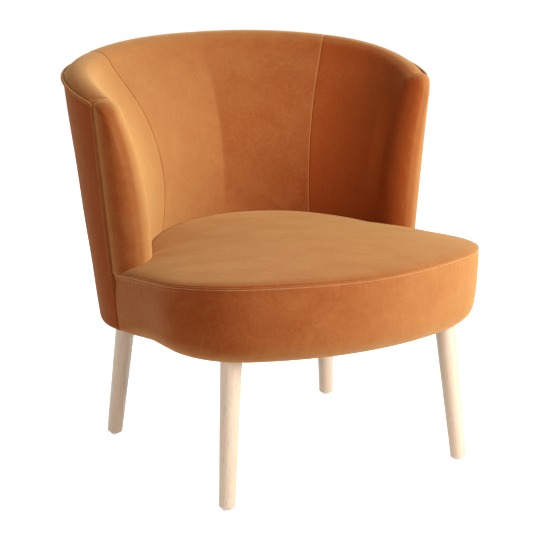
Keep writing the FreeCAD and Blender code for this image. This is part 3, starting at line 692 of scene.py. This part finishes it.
def cover_profile(top):
    """Closed line of (depth, height): hem, rounded lower edge, outer face, top fold and inside."""
    line = [(d, LOW_Z) for d in (HEM_DEPTH, 0.046, 0.034, 0.024, 0.016, 0.011)]
    for angle in steps(0, pi / 2, 6):
        depth, over = LOW_FOLD - LOW_FOLD * sin(angle), LOW_FOLD - LOW_FOLD * cos(angle)
        line.append((depth, LOW_Z + over))
    line += [(0.0, LOW_Z + LOW_FOLD + 0.002)]
    line += [(0.0, z) for z in steps(LOW_Z + 0.014, top - 0.006, 35)]
    line += [(0.0, top - 0.0026), (0.0003, top - 0.0014), (0.00095, top - 0.0009),
             (0.0016, top - 0.0014), (COVER_THICKNESS, top - 0.0026)]
    line += [(COVER_THICKNESS, z) for z in steps(top - 0.008, LOW_Z + 0.010, 8)]
    hem = ((0.0030, 0.0035), (0.0080, 0.0022), (0.030, 0.002), (HEM_DEPTH, 0.002))
    return line + [(depth, LOW_Z + over) for depth, over in hem]


def cover_row(share, wrap=0.0, inward=0.0):
    """One upright section; a wrap over 0 turns it round the arm's front edge, and then inward."""
    top = rim_height(max(wall_point(share, HIGH_Z).y, ARM_FRONT_Y))
    row = []
    for depth, z in cover_profile(top):
        forward = fullness = 0.0
        if depth < 0.0005 and LOW_Z + LOW_FOLD < z < top - 0.004:
            edge = min(1.0, (top - z) / 0.05, (z - LOW_Z) / 0.06, (share + 0.001) / 0.06)
            fullness = edge * WADDING * (1 + soft_wave(share * 3.0, z * 5.0))
        if wrap and depth < FRONT_FOLD:
            reach = FRONT_FOLD - depth
            forward, depth = reach * sin(wrap), FRONT_FOLD - reach * cos(wrap)
        point = wall_point(share, z, depth - fullness + inward)
        row.append(Vector((point.x, ARM_FRONT_Y - forward, z)) if wrap else point)
    return row


# Its front edges run on inward behind the ends of the seat's border, out of sight.
half_rows = [cover_row(0.0, pi / 2, inward) for inward in (0.050, 0.022, 0.006)]
half_rows += [cover_row(0.0, radians(turn)) for turn in (90, 72, 54, 36, 18)]
half_rows += [cover_row(share) for share in (0.0, 0.004, 0.010)]
half_rows += [cover_row(share) for share in steps(0.02, 1.0, 62)]
outside = closed_tube("outside_panel", [flip_row(row) for row in half_rows] + half_rows[-2::-1])
soften(outside, velvet_outside)
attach(outside, "root")
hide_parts("outside_cover")

# --- Rim piping -------------------------------------------

# Thin cord covered with a bias strip of the same velvet, sewn between the inside and outside
# covers: up both arms' front edges, round a tight corner and along the rim.
PIPING_RADIUS = 0.0027
PIPING_OUT = 0.0013            # its middle lies this far outside the back's wall
PIPING_LOW_Z = 0.358
PIPING_CORNER = 0.009          # radius of its corner at the top of an arm
CORNER_SHARE = 0.018           # where that corner ends, as a share of the rim
CORD_SIDES = 12


def rim_point(share):
    top = rim_height(max(wall_point(share, HIGH_Z).y, ARM_FRONT_Y))
    return wall_point(share, top, -PIPING_OUT) + Vector((0, 0, 0.0006))


def front_point(z):
    return wall_point(0.0, z, -PIPING_OUT) + Vector((0, -0.0020, 0))


def swept_cord(name, path, radius):
    """A round cord along a path of points."""
    rows, across = [], SIDE_WAY
    turns = [2 * pi * j / CORD_SIDES for j in range(CORD_SIDES)]
    for k, point in enumerate(path):
        ahead = (path[min(k + 1, len(path) - 1)] - path[max(k - 1, 0)]).normalized()
        across = (across - ahead * across.dot(ahead)).normalized()
        up = ahead.cross(across)
        rows.append([point + (across * cos(t) + up * sin(t)) * radius for t in turns])
    return closed_tube(name, rows)


corner_top = rim_point(0.0).z
start, end = front_point(corner_top - PIPING_CORNER), rim_point(CORNER_SHARE)
tip = (front_point(corner_top) + rim_point(0.0)) / 2
half_path = [front_point(z) for z in steps(PIPING_LOW_Z, start.z, 70)[:-1]]
half_path += [start * (1 - t) ** 2 + tip * (2 * t * (1 - t)) + end * t ** 2 for t in steps(0, 1, 8)[:-1]]
half_path += [rim_point(share) for share in steps(CORNER_SHARE, 1, 120)]
whole_path = flip_row(half_path) + half_path[-2::-1]
piping = swept_cord("rim_cord", whole_path, PIPING_RADIUS)
soften(piping, velvet)
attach(piping, "root")
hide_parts("rim_piping")

# --- Seat top ---------------------------------------------

# The seat's foam block under a crowned velvet top panel, sewn to the border all round the front
# and pulled down between the seat and the back. Highest in the middle, it falls to the arms.
SEAT_HALF, SEAT_FRONT_Y, FRONT_R, CORNER_R = 0.310, -0.3385, 0.520, 0.165
STEP_Y = 0.0227                # behind this the seat's edge steps in beside the arm
SEAM_Z, ARM_SEAM_Z = 0.394, 0.362
CROWN_LINE = ((-0.3385, 0.3975), (-0.0895, 0.415), (0.1865, 0.401))
CROWN_REACH, CROWN_SPREAD = 0.316, 0.376       # falls to the seam's height here; its arc's half chord
CROWN_Y, CROWN_Z, CROWN_R = circle_through(*CROWN_LINE)
SEAT_CENTRE_Y = -0.06


def front_outline(inset=0.0, step=0.003):
    """Points and outward directions of the seat's outline, from the front's middle to an arm."""
    offset = SEAT_HALF - CORNER_R
    front_centre = SEAT_FRONT_Y + FRONT_R
    corner_y = front_centre - sqrt((FRONT_R - CORNER_R) ** 2 - offset ** 2)
    joint = atan2(corner_y - front_centre, offset)
    line = []
    arcs = ((0, front_centre, FRONT_R, -pi / 2, joint), (offset, corner_y, CORNER_R, joint, 0))
    for cx, cy, radius, a0, a1 in arcs:
        count = round((a1 - a0) * radius / step)
        for angle in steps(a0, a1, count)[:-1]:
            out = Vector((cos(angle), sin(angle), 0))
            line.append((Vector((cx, cy, 0)) + out * (radius - inset), out))
    count = round((STEP_Y - corner_y) / step)
    return line + [(Vector((SEAT_HALF - inset, y, 0)), SIDE_WAY) for y in steps(corner_y, STEP_Y, count)]


def seat_height(x, y):
    """Height of the crowned top."""
    ridge = CROWN_Z + sqrt(CROWN_R ** 2 - (y - CROWN_Y) ** 2)
    share = clamp((y - SEAT_FRONT_Y) / (ARM_FRONT_Y - SEAT_FRONT_Y))
    side = SEAM_Z - (SEAM_Z - ARM_SEAM_Z) * share ** 2
    sag = (ridge - side) * (CROWN_SPREAD / CROWN_REACH) ** 2
    radius = (CROWN_SPREAD ** 2 + sag ** 2) / (2 * sag)
    return ridge - radius + sqrt(radius ** 2 - x ** 2)


def polar_outline(points):
    """A half outline as (angle, reach) pairs about the seat's middle, from the front to the rear."""
    return [(atan2(abs(p.x), SEAT_CENTRE_Y - p.y), hypot(p.x, p.y - SEAT_CENTRE_Y))
            for p in points]


def reach_at(pairs, angle):
    angle = max(angle, pairs[0][0])
    for (a0, r0), (a1, r1) in zip(pairs, pairs[1:]):
        if a0 <= angle <= a1:
            return r0 + (r1 - r0) * (angle - a0) / (a1 - a0) if a1 > a0 else r1
    return pairs[-1][1]


def disc_pad(name, outline, rings, crowd, top_z, low_z, lower_inset=0.0):
    """A closed pad over an outline: square-meshed top, slanted hidden side and flat underside."""
    pairs = polar_outline(outline)
    points = [Vector((0, SEAT_CENTRE_Y, top_z(0, SEAT_CENTRE_Y, 1.0)))]
    faces = [(0, 1 + k, 2 + k, 1 + (k + 2) % 8) for k in (0, 2, 4, 6)]
    outer = range(1)
    for ring in range(1, rings + 1):
        share = ring / rings + crowd * sin(pi * ring / rings) / pi
        inner, outer = outer, range(len(points), len(points) + 8 * ring)
        for k in range(8 * ring):
            angle = 2 * pi * k / (8 * ring) + pi / 4
            turned = (angle + pi) % (2 * pi) - pi
            reach = reach_at(pairs, abs(turned))
            x, y = sin(turned) * reach * share, SEAT_CENTRE_Y - cos(turned) * reach * share
            points.append(Vector((x, y, top_z(x, y, reach * (1 - share)))))
        for side in range(4 if ring > 1 else 0):
            corner, below = side * 2 * ring, side * 2 * (ring - 1)
            faces.append((inner[below], outer[corner - 1], outer[corner], outer[corner + 1]))
            faces += [(inner[below + k - 1], outer[corner + k], outer[corner + k + 1],
                       inner[(below + k) % len(inner)]) for k in range(1, 2 * ring - 1)]
    count, rim = len(outer), outer
    for inset, share in ((0.0012, 0.10), (lower_inset * 0.5 + 0.001, 0.5), (lower_inset, 0.93),
                         (lower_inset + 0.002, 1.0)):
        lower = range(len(points), len(points) + count)
        for p in [points[k] for k in outer]:
            inward = Vector((-p.x, SEAT_CENTRE_Y - p.y, 0)).normalized() * inset
            points.append(Vector((p.x + inward.x, p.y + inward.y, p.z + (low_z - p.z) * share)))
        faces += [(rim[k], lower[k], lower[(k + 1) % count], rim[(k + 1) % count])
                  for k in range(count)]
        rim = lower
    return mesh_piece(name, points, faces + zip_loop(rim))


# Behind the arms the seat's edge runs a little way into the foot of the back's pad, out of sight.
SEAT_TUCK = 0.006
GATHER_PITCH, GATHER_DEPTH = 0.0135, 0.00035   # small gathers along the seam
visible_edge = [p for p, _ in front_outline()]
tucked_edge = [foot + heading * SEAT_TUCK for foot, heading in map(station, steps(0, 1, 60)[1:])]
seat_edge = visible_edge + [Vector((0.300, 0.0262, 0)), Vector((0.255, 0.0275, 0))] + tucked_edge


def run_out(away, reach, depth=1.0):
    """A depth at the edge that fades over a reach."""
    return depth * max(0.0, 1 - away / reach) ** 2


def seat_top_height(x, y, away):
    """The crown with its rolled edge at the seam, small gathers there, and slow unevenness."""
    z = seat_height(x, y)
    if y < STEP_Y + 0.001:
        z -= run_out(away, 0.018, 0.0030) + run_out(away, 0.003, 0.0016)
        around = atan2(x, -(y - SEAT_CENTRE_Y)) * 0.32
        gather = sin(around / GATHER_PITCH * 2 * pi + 2.0 * sin(around * 31))
        gather *= 0.6 + 0.4 * sin(around * 47 + 1)
        z += GATHER_DEPTH * gather * exp(-(away / 0.011) ** 2)
    else:
        z -= run_out(away, 0.014, 0.0060)
    z += 0.0030 * (1 - run_out(away, 0.065))
    inner = min(1.0, away / 0.05)
    return z + 0.0008 * inner * soft_wave(x * 9, y * 9)


seat_top = disc_pad("seat_top", seat_edge, 46, 0.78, seat_top_height, DECK_Z + 0.0004, 0.028)
soften(seat_top, velvet_seat)
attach(seat_top, "root")
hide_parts("seat_cover_top", "seat_foam")

# --- Seat border ------------------------------------------

# A band of velvet over foam round the seat's front and sides. Its upper edge is folded under and
# topstitched just below the seam, and its lower edge turns softly under the base, stapled there.
BORDER_TAPER = 0.007           # it leans in by this much from the seam to the base
EDGE_RADIUS = 0.043            # of its lower edge
ARM_EDGE_RADIUS = 0.012        # the lower edge is tighter where the border meets an arm
BORDER_HEM = 0.060
BORDER_FULLNESS = 0.0030       # how far it bulges half way down
STITCH_DROP = 0.0041           # topstitch below the seam
END_FOLD, END_FADE = 0.003, 0.008      # radius of its upright ends beside the arms, and its run-out
SEAM_DROP = 0.0034             # the seam lies below the crowned surface of the top
BORDER_GATHER, BORDER_SWELL = 0.0003, 0.0009
END_GAP = 0.0055               # the border stops this far before the back's step


def border_profile(seam, gather, edge_radius):
    """Closed line of (outward, height): seam, topstitched fold, full face, lower edge, hem, inside."""
    fold = ((-0.0045, 0.0030), (-0.0014, 0.0002), (0.0002, -0.0001), (0.0012, 0.0007),
            (0.0015, 0.0019), (0.0012, 0.0030), (0.0003, STITCH_DROP), (0.0009, 0.0052),
            (0.0013, 0.0068))
    line = [(outward, seam - below) for outward, below in fold]
    low = LOW_Z + edge_radius
    start = seam - 0.009
    for z in steps(start, low, 18)[:-1]:
        share = (start - z) / (start - low)
        full = BORDER_FULLNESS * sin(pi * (0.12 + 0.74 * share)) + gather * (1 - share) ** 6
        line.append((full - BORDER_TAPER * (SEAM_Z - z) / (SEAM_Z - LOW_Z), z))
    out0 = line[-1][0] - 0.0006
    for angle in steps(0, pi / 2, 12):
        line.append((out0 - edge_radius * (1 - cos(angle)), low - edge_radius * sin(angle)))
    line += [(out0 - edge_radius - 0.006, LOW_Z), (-BORDER_HEM, LOW_Z), (-BORDER_HEM, LOW_Z + 0.002)]
    return line + [(-0.046, LOW_Z + 0.002), (-0.031, LOW_Z + 0.012), (-0.030, 0.300), (-0.029, 0.330),
                   (-0.020, min(DECK_Z - 0.001, seam - 0.012))]


def border_row(point, out, along, wrap=0.0, inward=0.0):
    """One upright section; a wrap over 0 rounds its end beside an arm, and then turns inward."""
    seam = seat_height(point.x, point.y) - SEAM_DROP
    gather = BORDER_GATHER * sin(along / GATHER_PITCH * 2 * pi + 1.7 * sin(along * 29))
    gather *= 0.5 + 0.5 * sin(along * 41)
    near_arm = clamp((along - BORDER_LENGTH + 0.110) / 0.105)      # over its last 110 mm
    edge_radius = EDGE_RADIUS + (ARM_EDGE_RADIUS - EDGE_RADIUS) * near_arm ** 2 * (3 - 2 * near_arm)
    row = []
    for outward, z in border_profile(seam, gather, edge_radius):
        on_face = outward > -0.03 and LOW_Z + 0.02 < z < seam - 0.01
        swell = BORDER_SWELL * soft_wave(along * 8, z * 12) if on_face else 0.0
        depth, back = -outward, 0.0
        if wrap and depth < END_FOLD + END_FADE:
            reach = END_FOLD * (1 - max(0.0, depth - END_FOLD) / END_FADE)
            back, depth = reach * sin(wrap), depth + END_FOLD * (1 - cos(wrap))
        row.append(point + out * (swell - depth - inward) + Vector((0, back, z)))
    return row


border_line = front_outline(step=0.0042)
lengths = [0.0]
for (p, _), (q, _) in zip(border_line, border_line[1:]):
    lengths.append(lengths[-1] + (q - p).length)
BORDER_LENGTH = lengths[-1]
last_point = border_line[-1][0] - Vector((0, END_GAP, 0))
half_rows = [border_row(p, out, along) for (p, out), along in zip(border_line, lengths)
             if p.x < SEAT_HALF - 0.001 or p.y < last_point.y - 0.001]
for turn, inward in ((0, 0), (25, 0), (50, 0), (70, 0), (90, 0), (90, 0.004), (90, 0.012)):
    half_rows.append(border_row(last_point, SIDE_WAY, BORDER_LENGTH, radians(turn), inward))
border = closed_tube("seat_border", [flip_row(row) for row in half_rows[::-1]] + half_rows[1:])
soften(border, velvet_border)
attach(border, "root")
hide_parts("seat_cover_border", "border_foam")

# The topstitch: pale polyester thread, one short raised stitch after another.
STITCH_PITCH = 0.0039
STITCH_LENGTH = 0.0030
THREAD_RADIUS = 0.00042

thread, add, place = blank_material("polyester_thread")
twist = add("TexWave", {"Vector": place, "Scale": 420.0, "Distortion": 1.5}, wave_type="BANDS",
    bands_direction="DIAGONAL")
thread_colour = add("Mix", {0: twist.outputs["Fac"], 6: linear("#C98D55"), 7: linear("#E3B483")},
    data_type="RGBA")
surface = add("BsdfPrincipled", {"Base Color": thread_colour.outputs[2], "Roughness": 0.5,
    "Sheen Weight": 0.3})
add("OutputMaterial", {"Surface": surface})


def stitch_rows(middle, ahead, outward):
    """One stitch as six rings of six points; its ends are thin and dip into the cloth."""
    rows = []
    turns = [2 * pi * j / 6 for j in range(6)]
    for share, size, sink in ((-0.5, 0.25, 0.0006), (-0.38, 0.8, 0.0001), (-0.15, 1.0, 0),
                              (0.15, 1.0, 0), (0.38, 0.8, 0.0001), (0.5, 0.25, 0.0006)):
        centre = middle + ahead * (STITCH_LENGTH * share) - outward * sink
        rows.append([centre + (outward * cos(t) + UP * sin(t)) * THREAD_RADIUS * size
                     for t in turns])
    return rows


stitch_points, stitch_faces = [], []
fine_line = front_outline(step=STITCH_PITCH)
for mirror in (1, -1):
    for (p, out), (q, _) in zip(fine_line[:-2], fine_line[1:-1]):
        middle = (p + q) / 2
        height = seat_height(middle.x, middle.y) - SEAM_DROP - STITCH_DROP + 0.0001
        middle = Vector((middle.x * mirror, middle.y, height))
        outward = Vector((out.x * mirror, out.y, 0))
        ahead = (q - p).normalized()
        ahead.x *= mirror
        rows = stitch_rows(middle + outward * 0.0007, ahead, outward)
        base = len(stitch_points)
        stitch_points += [v for row in rows for v in row]
        stitch_faces += ring_faces(base, 6, 6)
        stitch_faces += [tuple(range(base + 5, base - 1, -1)), tuple(range(base + 30, base + 36))]
topstitch = mesh_piece("seat_topstitch", stitch_points, stitch_faces)
for face in topstitch.data.polygons:
    face.use_smooth = True
topstitch.data.materials.append(thread)
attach(topstitch, "root")

# --- Webbing and felt pad ---------------------------------

# Woven elastic straps stapled across the opening of the seat frame, the cross straps over the long
# ones, and a needled felt pad that keeps the seat foam off them. Hidden inside the seat.
RING_TOP_Z = 0.344
STRAP_HALF, STRAP_THICK = 0.025, 0.002
STRAP_END = (0.062, 0.058)     # ends: inset from the seat's outline, and depth in the back's wall
PAD_INSET = (0.034, 0.0336)
LONG_STRAPS_X = (-0.144, -0.072, 0.0, 0.072, 0.144)
CROSS_STRAPS_Y = (-0.190, -0.105, -0.020, 0.065, 0.135)
CLIMB_END, CLIMB_RUN = 0.1815, 0.012   # where a cross strap comes down beside the long ones


def whole_outline(inset, depth, z):
    """Half outline of the seat frame, from the front's middle round to the rear's middle."""
    front = [p for p, _ in front_outline(inset)]
    wall = [wall_point(share, z, depth) for share in steps(0, 1, 60)]
    return front + [Vector((p.x, p.y, 0)) for p in wall if p.y > STEP_Y + 0.001]


def crossing(outline, axis, value):
    """Where the half outline crosses a line of equal x (axis 0) or y (axis 1)."""
    found = []
    for p, q in zip(outline, outline[1:]):
        start, end = p[axis], q[axis]
        if min(start, end) <= value <= max(start, end) and start != end:
            found.append(p.lerp(q, (value - start) / (end - start))[1 - axis])
    return found


def strap_row(middle, across):
    """A strap's rounded section: ten corners, in shares of its half width and its thickness."""
    section = ((-1, 0.25), (-1, 0.75), (-0.97, 1), (0, 1.04), (0.97, 1), (1, 0.75), (1, 0.25),
               (0.97, 0), (0, 0.04), (-0.97, 0))
    return [middle + across * (STRAP_HALF * u) + Vector((0, 0, STRAP_THICK * v)) for u, v in section]


elastic, add, place = blank_material("woven_elastic_webbing")
ribs = add("TexWave", {"Vector": place, "Scale": 90.0, "Distortion": 0.5}, wave_type="BANDS",
    bands_direction="X")
picks = add("TexWave", {"Vector": place, "Scale": 160.0, "Distortion": 0.5}, wave_type="BANDS",
    bands_direction="Y")
weave = add("Math", {0: ribs.outputs["Fac"], 1: picks.outputs["Fac"]}, operation="MULTIPLY")
close_material(add, weave, weave, ("#3B2C22", "#8A6B4A"), (0.5, 0.0006), 0.8)

strap_outline = whole_outline(*STRAP_END, RING_TOP_Z)
long_straps, cross_straps = [], []
for x in LONG_STRAPS_X:
    ends = crossing(strap_outline, 0, abs(x) + 0.0001)
    rows = [strap_row(Vector((x, y, RING_TOP_Z)), SIDE_WAY) for y in steps(min(ends), max(ends), 40)]
    long_straps.append(closed_tube(f"long_strap_{len(long_straps)}", rows))
for y in CROSS_STRAPS_Y:
    reach = min(max(crossing(strap_outline, 1, y + edge)) for edge in (-STRAP_HALF, STRAP_HALF))
    rows = []
    for x in steps(-reach, reach, 40):
        climb = clamp((CLIMB_END - abs(x)) / CLIMB_RUN)
        middle = Vector((x, y, RING_TOP_Z + STRAP_THICK * 1.03 * climb))
        rows.append(strap_row(middle, Vector((0, 1, 0))))
    cross_straps.append(closed_tube(f"cross_strap_{len(cross_straps)}", rows))
for name, straps in (("webbing_long", long_straps), ("webbing_cross", cross_straps)):
    bpy.ops.object.select_all(action="DESELECT")
    for strap in straps:
        strap.select_set(True)
    bpy.context.view_layer.objects.active = straps[0]
    bpy.ops.object.join()
    straps[0].name = f"{name}_straps"
    soften(straps[0], elastic)
    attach(straps[0], "root")
    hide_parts(name)

felt, add, place = blank_material("needled_felt")
fibres = add("TexNoise", {"Vector": place, "Scale": 900.0, "Detail": 6.0})
close_material(add, fibres, fibres, ("#8C8478", "#C9C2B4"), (0.5, 0.001), 0.95, 0.2)


def pad_top(x, y, away):
    """Just under the seat foam, with a soft edge."""
    return DECK_Z - 0.0002 - run_out(away, 0.006, 0.002) - 0.0004 * (1 + soft_wave(x * 20, y * 20))


felt_pad = disc_pad("felt_pad", whole_outline(*PAD_INSET, DECK_Z), 24, 0.5, pad_top, DECK_Z - 0.0058)
soften(felt_pad, felt)
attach(felt_pad, "root")
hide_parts("webbing_pad")

# --- Dust cover -------------------------------------------

# Black non-woven cloth stapled over the underside of the base, which also hides the velvet's raw
# hems. The real cloth is cut round the four legs; here they pass through it.
DUST_INSET = (0.046, 0.023)
DUST_THICK, STAPLE_PITCH = 0.0008, 0.04

nonwoven, add, place = blank_material("black_nonwoven_cloth")
dots = add("TexVoronoi", {"Vector": place, "Scale": 620.0, "Randomness": 0.25})
threads = add("TexNoise", {"Vector": place, "Scale": 1100.0, "Detail": 4.0})
grain = add("Math", {0: threads, 1: 0.6, 2: dots.outputs["Distance"]}, operation="MULTIPLY_ADD")
close_material(add, grain, grain, ("#121214", "#2C2C30"), (0.4, 0.0004), 0.85)


def dust_face(x, y, away):
    """Its underside, slack between the staples along its edge."""
    around = atan2(x, -(y - SEAT_CENTRE_Y)) * 0.28
    slack = 0.0006 * (1 - cos(2 * pi * around / STAPLE_PITCH))
    slack *= exp(-(away / 0.015) ** 2)
    sag = 0.0014 * min(1.0, away / 0.08) * (0.6 + 0.4 * soft_wave(x * 12, y * 12))
    return LOW_Z - DUST_THICK - slack - sag


dust_line = whole_outline(*DUST_INSET, LOW_Z)
dust = disc_pad("dust_cloth", dust_line, 40, 0.3, dust_face, LOW_Z - 0.0001)
soften(dust, nonwoven)
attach(dust, "root")
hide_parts("dust_cover")
